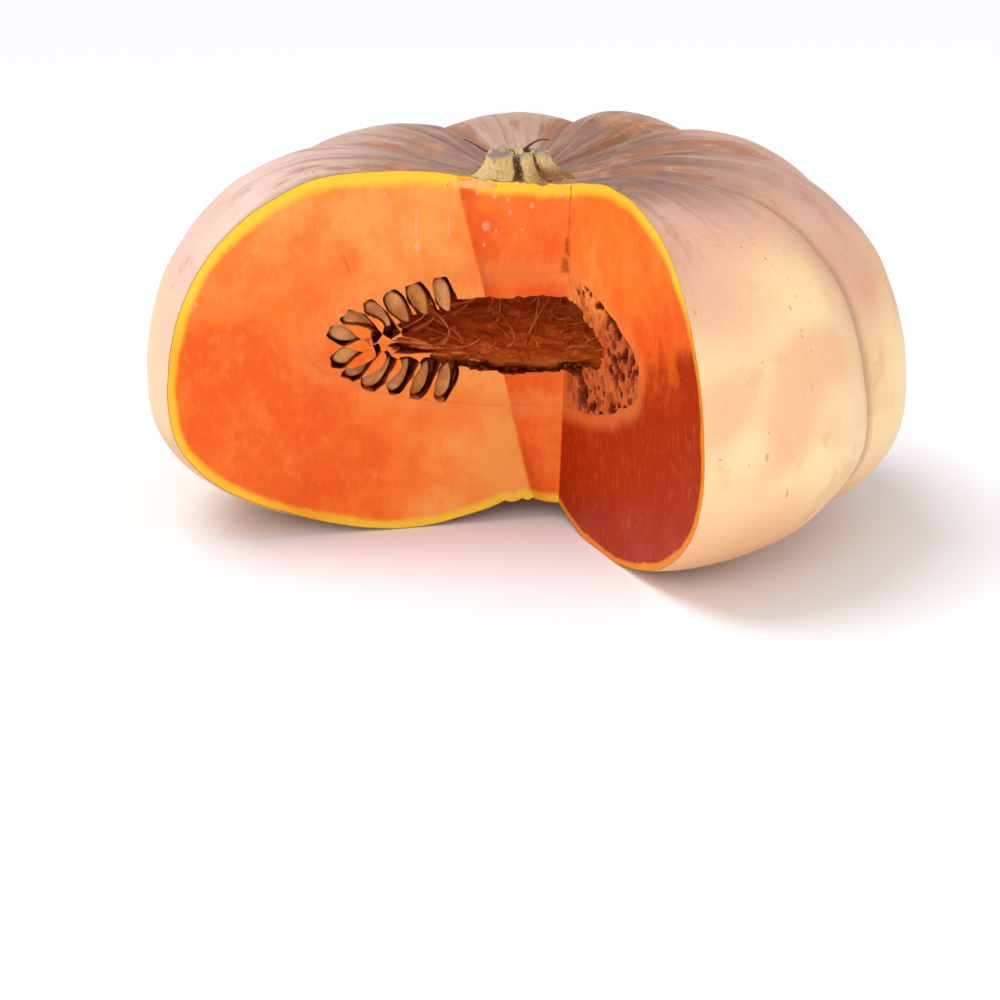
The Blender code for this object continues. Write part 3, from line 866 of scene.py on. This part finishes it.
def pulp_material():
    """Orange at the cut, like the flesh; wet, and painted dark red-brown as shade in the pits and seed cells behind
    the cut, orange again deep in the hollow.
    """
    material, tree, shader, where = new_material("pulp")
    redness_and_shade = own(tree, "redness_and_shade").outputs["Fac"]
    behind = own(tree, "behind").outputs["Fac"]
    fibre = grainy(tree, stretched(tree, where, 1.0, 1.0, 0.5), 330.0, 6.0, 0.7)
    lump = grainy(tree, where, 120.0, 5.0, 0.65)
    # As on the flesh, the redness carries painted shade on the right cut, which deepens the pulp's orange here.
    colour = tinted(tree, between(tree, redness_and_shade, 0.30, 0.70), solid(250, 146, 74), solid(210, 104, 52))
    inner = own(tree, "from_hollow").outputs["Fac"]
    mottled = sum_up(tree, "MULTIPLY", between(tree, lump, 0.46, 0.62), between(tree, inner, 0.0, 0.004))
    colour = tinted(tree, sum_up(tree, "MULTIPLY", mottled, 0.65), colour, solid(160, 62, 28))
    # Painted shade: the pulp is darkened with depth behind the cut, into its pits and seed cells, then turns back to
    # its own orange far in.
    deep = sum_up(tree, "ADD", behind, sum_up(tree, "MULTIPLY", sum_up(tree, "SUBTRACT", fibre, 0.5), 0.004))
    colour = tinted(tree, between(tree, deep, 0.0002, 0.0016), colour, solid(140, 50, 22))
    colour = tinted(tree, between(tree, deep, 0.0016, 0.0050), colour, solid(70, 20, 8))
    colour = tinted(tree, between(tree, deep, 0.0080, 0.0200), colour, solid(250, 128, 52))
    pale = sum_up(tree, "MULTIPLY", between(tree, fibre, 0.52, 0.66), 0.45)
    colour = tinted(tree, pale, colour, solid(240, 140, 70))
    tree.links.new(colour, shader.inputs["Base Color"])
    shader.inputs["Roughness"].default_value = 0.45
    shader.inputs["Specular IOR Level"].default_value = 0.14
    shader.inputs["Subsurface Weight"].default_value = 0.15
    shader.inputs["Subsurface Radius"].default_value = (0.004, 0.0014, 0.0005)
    shader.inputs["Subsurface Scale"].default_value = 1.0
    bumps = raised(tree, fibre, 0.7, 0.0012)
    bumps = raised(tree, lump, 0.6, 0.0020, bumps)
    tree.links.new(bumps, shader.inputs["Normal"])
    return material


cell_turns = random.Random(3)
cells = [seed_cell(centre, length, facing, cell_turns)
         for centre, length, width, facing in seed_stands if facing == left_facing]
lining = flattened_ball(cavity_radius, cavity_half_height, cavity_height, 200, 90, cavity_rough)
void = flattened_ball(void_radius, void_half_height, void_height, 220, 100, void_rough, 0.07)
pulp = as_object("seed_pulp_lining", lining, (pulp_material(), fruit.data.materials[1]))
pulp_sheet = knife_sheet(0.0008, spongy, 0.118, 0.050, 0.134)
carve(pulp, [void, joined(cells)], slot=0)
carve(pulp, [pulp_sheet], slot=1)
pulp_places = [vert.co.copy() for vert in pulp.data.vertices]
for face in pulp.data.polygons:
    if face.center.x > corner_at(face.center.z, right_cut_start, right_out).x + 0.0004:
        face.material_index = 0
store(pulp.data, "under_rind", "FLOAT", [0.05] * len(pulp_places))
store(pulp.data, "from_hollow", "FLOAT", [hollow_tree.find_nearest(place)[3] for place in pulp_places])
store(pulp.data, "redness_and_shade", "FLOAT", [flesh_redness_and_shade(place) for place in pulp_places])
store(pulp.data, "behind", "FLOAT", [behind_cut(place) for place in pulp_places])
smooth_with_creases(pulp, 60)
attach(pulp, "root")
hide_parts("seed_pulp")


# ---------------------------------------------------------------------------------------------
# The strands: wet threads of pulp that cross the hollow from wall to wall and hold the seeds of
# the back wall. They taper, sag a little and stick to the lining at both ends.

strand_count = 110
strand_radius = 0.0010


def tube(name, paths, material, sides=2):
    """Tapered threads as one mesh; each path is a list of (place, radius)."""
    curve = bpy.data.curves.new(name, "CURVE")
    curve.dimensions = "3D"
    curve.bevel_depth = 1.0
    curve.bevel_resolution = sides
    curve.use_fill_caps = True
    curve.resolution_u = 4
    for path in paths:
        line = curve.splines.new("NURBS")
        line.points.add(len(path) - 1)
        line.order_u = 3
        line.use_endpoint_u = True
        for point, (place, radius) in zip(line.points, path):
            point.co = (*place, 1.0)
            point.radius = radius
    guide = bpy.data.objects.new(name, curve)
    bpy.context.scene.collection.objects.link(guide)
    mesh = bpy.data.meshes.new_from_object(guide.evaluated_get(bpy.context.evaluated_depsgraph_get()))
    bpy.data.objects.remove(guide, do_unlink=True)
    bpy.data.curves.remove(curve)
    mesh.materials.clear()
    mesh.materials.append(material)
    for face in mesh.polygons:
        face.use_smooth = True
    item = bpy.data.objects.new(name, mesh)
    bpy.context.scene.collection.objects.link(item)
    return item


def strand_material():
    material, tree, shader, where = new_material("pulp_strand")
    streak = grainy(tree, where, 240.0, 4.0)
    colour = tinted(tree, between(tree, streak, 0.35, 0.65), solid(236, 104, 38), solid(252, 156, 82))
    tree.links.new(colour, shader.inputs["Base Color"])
    shader.inputs["Roughness"].default_value = 0.3
    shader.inputs["Subsurface Weight"].default_value = 0.2
    shader.inputs["Subsurface Radius"].default_value = (0.003, 0.001, 0.0004)
    shader.inputs["Subsurface Scale"].default_value = 1.0
    return material


def wall_place(tree, azimuth, rise):
    """The point of the hollow's wall in a direction from its middle."""
    middle = stem_axis + Vector((0, 0.004, void_height))
    aim = Vector((math.cos(azimuth), math.sin(azimuth), rise)).normalized()
    found = tree.ray_cast(middle, aim)
    return found[0] + aim * 0.0012 if found[0] is not None else None


def strand_paths(tree, count):
    turns = random.Random(21)
    paths = []
    while len(paths) < count:
        azimuth = math.radians(turns.uniform(-8, 200))
        rise = turns.uniform(-0.5, 0.5)
        start = wall_place(tree, azimuth, rise)
        end = wall_place(tree, azimuth + math.radians(turns.gauss(0, 14)), rise + turns.gauss(0, 0.25))
        if start is None or end is None or min(behind_cut(start), behind_cut(end)) < 0.004:
            continue
        if not 0.006 < (end - start).length < 0.034:
            continue
        inward = stem_axis + Vector((0, 0, void_height)) - (start + end) / 2
        slack = inward * turns.uniform(0.05, 0.22) + Vector((0, 0, -turns.uniform(0, 0.003)))
        thick = strand_radius * turns.uniform(0.45, 1.3)
        steps = 6
        path = []
        for step in range(steps + 1):
            share = step / steps
            place = start.lerp(end, share) + slack * math.sin(math.pi * share)
            place += 0.0008 * noise.noise_vector(place * 160) * math.sin(math.pi * share)
            path.append((place, thick * (0.45 + 1.3 * (2 * share - 1) ** 2)))
        paths.append(path)
    return paths


pulp_bm = bmesh.new()
pulp_bm.from_mesh(pulp.data)
pulp_tree = BVHTree.FromBMesh(pulp_bm)
pulp_bm.free()
strands = tube("pulp_strands", strand_paths(pulp_tree, strand_count), strand_material())
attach(strands, "root")


# ---------------------------------------------------------------------------------------------
# The seeds: flat, tan, with a raised rim and a pointed end. Two dozen show in the cut faces, each
# in its own cell; the rest stand in the wall behind the hollow.

seed_length = 0.0176
seed_width = 0.0100
seed_thickness = 0.0034


def seed_shape(centre, length, width, turns):
    """A ball drawn out flat and pointed, with a rim left standing round a shallow middle."""
    bm = bmesh.new()
    bmesh.ops.create_uvsphere(bm, u_segments=40, v_segments=24, radius=1.0)
    thickness = length.cross(width)
    size = turns.uniform(0.94, 1.03)
    bend = turns.uniform(-0.0006, 0.0006)
    shift = Vector([turns.random() * 9 for axis in range(3)])
    for vert in bm.verts:
        along, across, up = vert.co
        out = min(math.hypot(along, across), 1)
        taper = 0.80 + 0.20 * math.sin(along * math.pi / 2) - 0.10 * eased(-along, 0.6, 1.0)
        rim = math.exp(-((out - 0.86) / 0.09) ** 2)
        sign = math.copysign(1, up)
        body = (0.62 + 0.30 * rim) * (1 - out ** 6) ** 0.5 * sign * eased(abs(up), 0.0, 0.25)
        body += 0.10 * noise.noise(vert.co * 2.5 + shift)
        x = along * seed_length / 2 * size
        y = across * seed_width / 2 * taper * size
        z = body * seed_thickness / 2 + bend * (along * along - 0.4)
        vert.co = centre + length * x + width * y + thickness * z
    return bm


def seed_material():
    """Smooth tan seed coat, still moist from the pulp."""
    material, tree, shader, where = new_material("seed_coat")
    fleck = grainy(tree, where, 420.0, 4.0)
    broad = grainy(tree, where, 90.0, 3.0)
    colour = tinted(tree, between(tree, broad, 0.35, 0.65), solid(200, 116, 54), solid(238, 164, 90))
    colour = tinted(tree, sum_up(tree, "MULTIPLY", between(tree, fleck, 0.55, 0.70), 0.4), colour, solid(176, 112, 62))
    tree.links.new(colour, shader.inputs["Base Color"])
    shader.inputs["Roughness"].default_value = 0.38
    tree.links.new(raised(tree, fleck, 0.25, 0.0004), shader.inputs["Normal"])
    return material


seed_coat = seed_material()
seed_sizes = random.Random(17)
for number, (centre, length, width, facing) in enumerate(seed_stands, start=1):
    seed = as_object(f"seed_{number:02d}_shown", seed_shape(centre, length, width, seed_sizes), (seed_coat,))
    for face in seed.data.polygons:
        face.use_smooth = True
    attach(seed, "root")
    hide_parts(f"seed_{number:02d}")


# ---------------------------------------------------------------------------------------------
# The tendrils: two dry, kinked threads and a few broken ends that still cling to the stem.

tendril_radius = 0.0005


def tendril_material():
    material, tree, shader, where = new_material("dry_tendril")
    colour = tinted(tree, grainy(tree, where, 300.0, 3.0), solid(58, 34, 22), solid(120, 80, 52))
    tree.links.new(colour, shader.inputs["Base Color"])
    shader.inputs["Roughness"].default_value = 0.8
    return material


def thread(points, thick):
    """A kinked thread through a few points above the dimple's floor, thinning to its far end."""
    path = []
    for step, (x, y, z) in enumerate(points):
        place = stem_axis + Vector((x, y, z + dimple_floor))
        path.append((place, thick * (1 - 0.65 * step / (len(points) - 1))))
    return path


dry_tendril = tendril_material()
tendril_left = tube("tendril_at_left", [
    thread(((-0.0120, 0.004, 0.0100), (-0.0155, 0.0043, 0.0110), (-0.0185, 0.005, 0.0112),
            (-0.0215, 0.0048, 0.0130), (-0.0245, 0.0047, 0.0150), (-0.0290, 0.006, 0.0168)), tendril_radius * 1.2),
    thread(((-0.0125, -0.002, 0.0075), (-0.0160, -0.0025, 0.0078), (-0.0195, -0.002, 0.0086)), tendril_radius * 1.5),
    thread(((-0.0130, -0.006, 0.0055), (-0.0170, -0.0070, 0.0050), (-0.0230, -0.007, 0.0062)), tendril_radius),
], dry_tendril)
tendril_top = tube("tendril_on_top", [
    thread(((-0.0010, 0.003, 0.0124), (0.002, 0.0045, 0.0142), (0.0045, 0.006, 0.0158),
            (0.0080, 0.007, 0.0166), (0.0110, 0.0072, 0.0163)), tendril_radius * 1.5),
], dry_tendril)
for tendril, node in ((tendril_left, "tendril_left"), (tendril_top, "tendril_top")):
    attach(tendril, "root")
    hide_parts(node)

# ---------------------------------------------------------------------------------------------
# Juice: beads and two runs of clear sap that have wept from the fresh cuts, mostly below the stem.

# Each bead on the short cut: place across it, height, size. Each bead on the left cut: distance
# along it, height, size.
middle_beads = (
    (-0.0222, 0.1602, 0.0011),
    (-0.0142, 0.1587, 0.0012),
    (-0.0082, 0.1574, 0.0012),
    (0.0028, 0.1548, 0.0014),
    (-0.0073, 0.1513, 0.0012),
    (-0.0184, 0.1450, 0.0021),
    (-0.0138, 0.1427, 0.0010),
    (-0.0018, 0.1433, 0.0010),
    (-0.0193, 0.1359, 0.0010),
    (0.0165, 0.1600, 0.0013),
)
left_beads = ((0.0203, 0.1362, 0.0021), (0.0056, 0.1411, 0.0011), (0.1235, 0.1149, 0.0011),
              (0.0354, 0.1611, 0.0009), (0.1051, 0.1576, 0.0008), (0.1177, 0.1368, 0.0008))
# Each run: distance along the left cut, height of its top, height of its foot, half width.
left_runs = ((0.0210, 0.1545, 0.1370, 0.0007), (0.0058, 0.1505, 0.1420, 0.0005))


def juice_material():
    material, tree, shader, where = new_material("juice")
    shader.inputs["Base Color"].default_value = solid(255, 214, 168)
    shader.inputs["Roughness"].default_value = 0.05
    shader.inputs["Alpha"].default_value = 0.30
    shader.inputs["Coat Weight"].default_value = 1.0
    shader.inputs["Coat Roughness"].default_value = 0.03
    return material


def bead(place, facing, size, tall=1.15):
    """A low dome of liquid on a cut, a little heavier at its foot."""
    bm = bmesh.new()
    bmesh.ops.create_uvsphere(bm, u_segments=20, v_segments=12, radius=1.0)
    side = Vector((0, 0, 1)).cross(facing).normalized()
    for vert in bm.verts:
        unit = vert.co.copy()
        heavy = 1 - 0.16 * unit.z
        vert.co = place + side * unit.x * size * heavy + Vector((0, 0, 1)) * unit.z * size * tall
        vert.co += facing * unit.y * size * 0.45
    return bm


def on_cut(tree, place, facing):
    """The point of the cut face in front of a place."""
    found = tree.ray_cast(place + facing * 0.02, -facing)
    return found[0] if found[0] is not None else place


cut_bm = bmesh.new()
cut_bm.from_mesh(fruit.data)
cut_tree = BVHTree.FromBMesh(cut_bm)
cut_bm.free()
forward = Vector((0, -1, 0))
drops = []
for x, height, size in middle_beads:
    place = Vector((stem_axis.x + x, middle_face_y(stem_axis.x + x, height), height))
    drops.append(bead(on_cut(cut_tree, place, forward), forward, size))
for along, height, size in left_beads:
    place = left_cut_start + left_out * along + Vector((0, 0, height))
    drops.append(bead(on_cut(cut_tree, place, left_facing), left_facing, size))
for along, top, foot, wide in left_runs:
    place = left_cut_start + left_out * along + Vector((0, 0, (top + foot) / 2))
    tall = (top - foot) / 2 / wide
    drops.append(bead(on_cut(cut_tree, place, left_facing), left_facing, wide, tall))
juice = as_object("juice_beads", joined(drops), (juice_material(),))
for face in juice.data.polygons:
    face.use_smooth = True
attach(juice, "root")

# ---------------------------------------------------------------------------------------------
# The table, the light and the camera.

floor_bm = bmesh.new()
bmesh.ops.create_grid(floor_bm, x_segments=2, y_segments=2, size=6.0)
floor_material = bpy.data.materials.new("floor")
floor_material.use_nodes = True
floor_shader = floor_material.node_tree.nodes["Principled BSDF"]
floor_shader.inputs["Base Color"].default_value = (0.885, 0.895, 0.93, 1.0)
floor_shader.inputs["Roughness"].default_value = 0.9
floor_shader.inputs["Specular IOR Level"].default_value = 0.1
floor = as_object("floor", floor_bm, (floor_material,))


def softbox(name, place, aim, side, power):
    """A large square lamp with a soft edge to its shadows."""
    lamp = bpy.data.lights.new(name, "AREA")
    lamp.shape = "SQUARE"
    lamp.size = side
    lamp.energy = power
    item = bpy.data.objects.new(name, lamp)
    bpy.context.scene.collection.objects.link(item)
    item.location = place
    item.rotation_euler = (Vector(aim) - Vector(place)).to_track_quat("-Z", "Y").to_euler()
    return item


softbox("front_fill", (-0.25, -1.70, 0.75), (0, 0, 0.08), 1.2, 9.0)

softbox("right_fill", (1.70, -0.90, 0.90), (0, 0, 0.08), 1.2, 6.0)

sky = bpy.data.lights.new("key", "SUN")
sky.energy = 1.6
sky.angle = math.radians(38)
key = bpy.data.objects.new("key", sky)
bpy.context.scene.collection.objects.link(key)
key.rotation_euler = Vector((-0.50, 0.10, 1.0)).to_track_quat("Z", "Y").to_euler()

world = bpy.data.worlds.new("white_room")
world.use_nodes = True
world.node_tree.nodes["Background"].inputs["Color"].default_value = (1.0, 1.0, 1.0, 1.0)
world.node_tree.nodes["Background"].inputs["Strength"].default_value = 0.62
bpy.context.scene.world = world
bpy.context.scene.view_settings.view_transform = "Standard"

camera_tilt = math.radians(18)
camera_distance = 1.151
camera_aim = stem_axis + Vector((-0.0120, 0, 0.0055))
lens = bpy.data.cameras.new("camera")
lens.lens = 85
lens.sensor_width = 36
camera = bpy.data.objects.new("camera", lens)
bpy.context.scene.collection.objects.link(camera)
back = Vector((0, -math.cos(camera_tilt), math.sin(camera_tilt)))
camera.location = camera_aim + back * camera_distance
camera.rotation_euler = (math.pi / 2 - camera_tilt, 0, 0)
bpy.context.scene.camera = camera
